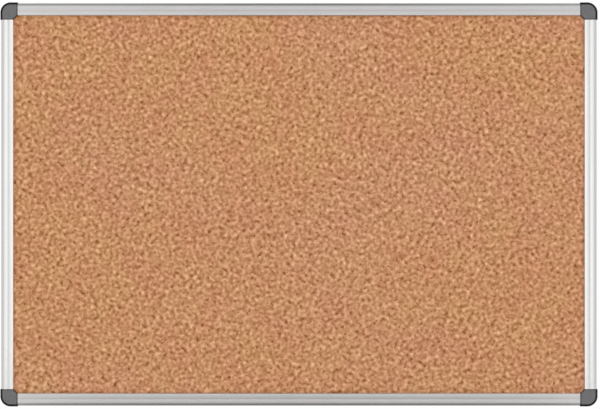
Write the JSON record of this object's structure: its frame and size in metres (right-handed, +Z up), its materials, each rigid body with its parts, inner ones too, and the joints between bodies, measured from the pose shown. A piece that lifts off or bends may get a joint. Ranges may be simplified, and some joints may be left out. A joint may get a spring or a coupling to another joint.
{
  "type": "cork board",
  "caption": "Wall-hung cork pin board in an aluminium rail frame with grey moulded corner covers that pull off to reach hidden corner screws.",
  "frame": {"origin": "on the wall, behind the middle of the board", "axes": "+X to the right seen from the front, +Z up, the cork faces -Y and the wall is at Y = 0"},
  "size_m": [0.9, 0.0164, 0.609],
  "materials": {
    "aluminium": "satin",
    "cover": "satin",
    "bracket": "matte",
    "steel": "satin",
    "cork": "matte",
    "core": "matte",
    "backing": "matte"
  },
  "bodies": {
    "board": {"backing_sheet": "backing", "core_board": "core", "cork_sheet": "cork", "rail_bottom": "aluminium", "rail_right": "aluminium", "rail_top": "aluminium", "rail_left": "aluminium", "corner_bracket_bottom_left": "bracket", "corner_bracket_bottom_right": "bracket", "corner_bracket_top_right": "bracket", "corner_bracket_top_left": "bracket", "screw_bottom_left_bottom_rail": "steel", "screw_bottom_left_left_rail": "steel", "screw_bottom_right_right_rail": "steel", "screw_bottom_right_bottom_rail": "steel", "screw_top_right_top_rail": "steel", "screw_top_right_right_rail": "steel", "screw_top_left_left_rail": "steel", "screw_top_left_top_rail": "steel"},
    "cover_bottom_left": {"corner_cover_bottom_left": "cover"},
    "cover_bottom_right": {"corner_cover_bottom_right": "cover"},
    "cover_top_right": {"corner_cover_top_right": "cover"},
    "cover_top_left": {"corner_cover_top_left": "cover"}
  },
  "joints": [
    {"name": "cover_pull_bottom_left", "type": "slide", "parent": "board", "child": "cover_bottom_left", "axis": [0, -1, 0], "range_m": [0, 0.025]},
    {"name": "cover_pull_bottom_right", "type": "slide", "parent": "board", "child": "cover_bottom_right", "axis": [0, -1, 0], "range_m": [0, 0.025]},
    {"name": "cover_pull_top_right", "type": "slide", "parent": "board", "child": "cover_top_right", "axis": [0, -1, 0], "range_m": [0, 0.025]},
    {"name": "cover_pull_top_left", "type": "slide", "parent": "board", "child": "cover_top_left", "axis": [0, -1, 0], "range_m": [0, 0.025]}
  ]
}
